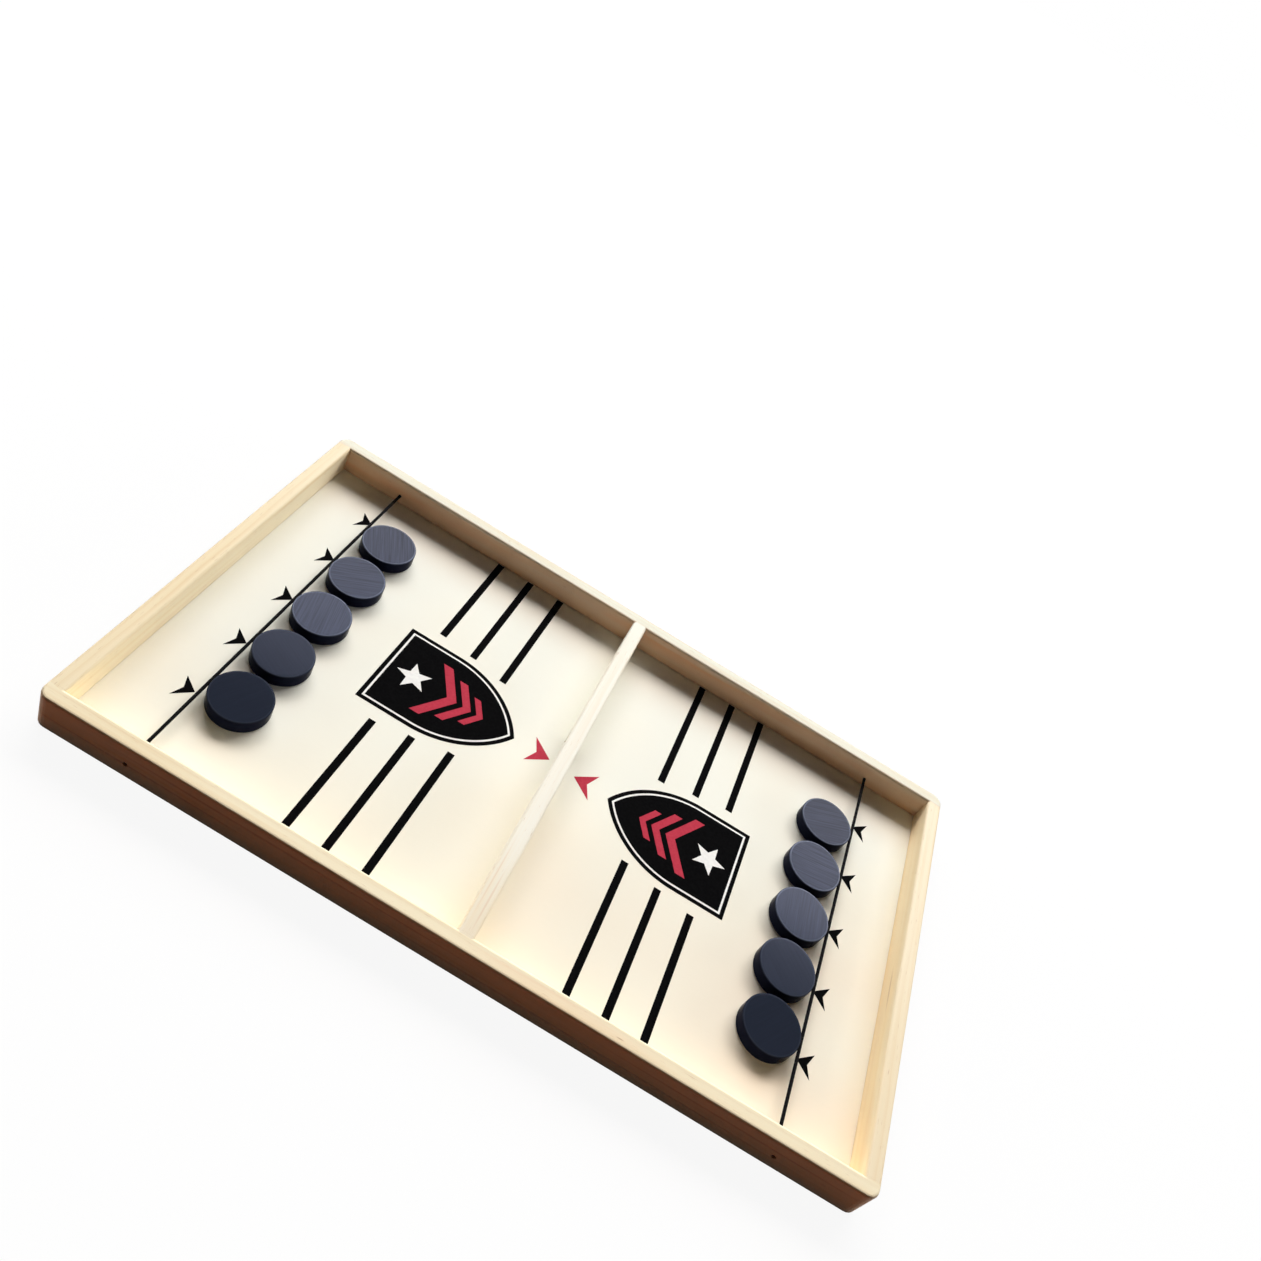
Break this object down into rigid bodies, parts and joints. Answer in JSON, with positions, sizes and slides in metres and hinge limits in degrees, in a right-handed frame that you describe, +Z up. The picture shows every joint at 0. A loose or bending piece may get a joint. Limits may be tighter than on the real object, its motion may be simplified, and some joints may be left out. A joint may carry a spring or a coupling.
{
  "type": "sling puck game",
  "caption": "Shallow rectangular wooden tabletop game tray with a gated centre divider, an elastic sling cord across each end and loose round pucks.",
  "frame": {"origin": "middle of the tray's footprint, at the level of the table it stands on", "axes": "+X along the tray, across the divider, towards the right end rail; +Y towards the far long rail; +Z up out of the tray"},
  "size_m": [0.36, 0.22, 0.017],
  "materials": {
    "pine": "planed pale pine with straight yellow-brown grain, thin clear coat",
    "printed_panel": "smooth pale board, screen printed in black, red and white",
    "pin_steel": "bright drawn wire",
    "elastic_cord": "black braided sleeve over an elastic core",
    "puck_lacquer": "turned wood under satin blue-black lacquer"
  },
  "bodies": {
    "tray": {"floor_panel": "printed_panel", "rail_near": "pine", "rail_far": "pine", "end_rail_left": "pine", "end_rail_right": "pine", "divider": "pine", "panel_pin_01": "pin_steel", "panel_pin_02": "pin_steel", "panel_pin_03": "pin_steel", "panel_pin_04": "pin_steel", "panel_pin_05": "pin_steel", "panel_pin_06": "pin_steel", "panel_pin_07": "pin_steel", "panel_pin_08": "pin_steel", "panel_pin_09": "pin_steel", "panel_pin_10": "pin_steel", "panel_pin_11": "pin_steel", "panel_pin_12": "pin_steel"},
    "sling_left": {"sling_cord_left": "elastic_cord"},
    "sling_right": {"sling_cord_right": "elastic_cord"},
    "left_puck_1": {"puck_left_1": "puck_lacquer"},
    "left_puck_2": {"puck_left_2": "puck_lacquer"},
    "left_puck_3": {"puck_left_3": "puck_lacquer"},
    "left_puck_4": {"puck_left_4": "puck_lacquer"},
    "left_puck_5": {"puck_left_5": "puck_lacquer"},
    "right_puck_1": {"puck_right_1": "puck_lacquer"},
    "right_puck_2": {"puck_right_2": "puck_lacquer"},
    "right_puck_3": {"puck_right_3": "puck_lacquer"},
    "right_puck_4": {"puck_right_4": "puck_lacquer"},
    "right_puck_5": {"puck_right_5": "puck_lacquer"}
  },
  "joints": [
    {"name": "sling_left_draw", "type": "slide", "parent": "tray", "child": "sling_left", "axis": [-1, 0, 0], "range_m": [0, 0.031], "stiffness_N_per_m": 120, "deforming": ["sling_cord_left"]},
    {"name": "sling_right_draw", "type": "slide", "parent": "tray", "child": "sling_right", "axis": [1, 0, 0], "range_m": [0, 0.031], "stiffness_N_per_m": 120, "deforming": ["sling_cord_right"]},
    {"name": "left_puck_1_slide", "type": "slide", "parent": "tray", "child": "left_puck_1", "axis": [1, 0, 0], "range_m": [0, 0.1081]},
    {"name": "left_puck_2_slide", "type": "slide", "parent": "tray", "child": "left_puck_2", "axis": [1, 0, 0], "range_m": [0, 0.1081]},
    {"name": "left_puck_3_shot", "type": "slide", "parent": "sling_left", "child": "left_puck_3", "axis": [1, 0, 0], "range_m": [0, 0.224]},
    {"name": "left_puck_4_slide", "type": "slide", "parent": "tray", "child": "left_puck_4", "axis": [1, 0, 0], "range_m": [0, 0.1081]},
    {"name": "left_puck_5_slide", "type": "slide", "parent": "tray", "child": "left_puck_5", "axis": [1, 0, 0], "range_m": [0, 0.1081]},
    {"name": "right_puck_1_slide", "type": "slide", "parent": "tray", "child": "right_puck_1", "axis": [-1, 0, 0], "range_m": [0, 0.1081]},
    {"name": "right_puck_2_slide", "type": "slide", "parent": "tray", "child": "right_puck_2", "axis": [-1, 0, 0], "range_m": [0, 0.1081]},
    {"name": "right_puck_3_shot", "type": "slide", "parent": "sling_right", "child": "right_puck_3", "axis": [-1, 0, 0], "range_m": [0, 0.224]},
    {"name": "right_puck_4_slide", "type": "slide", "parent": "tray", "child": "right_puck_4", "axis": [-1, 0, 0], "range_m": [0, 0.1081]},
    {"name": "right_puck_5_slide", "type": "slide", "parent": "tray", "child": "right_puck_5", "axis": [-1, 0, 0], "range_m": [0, 0.1081]}
  ]
}
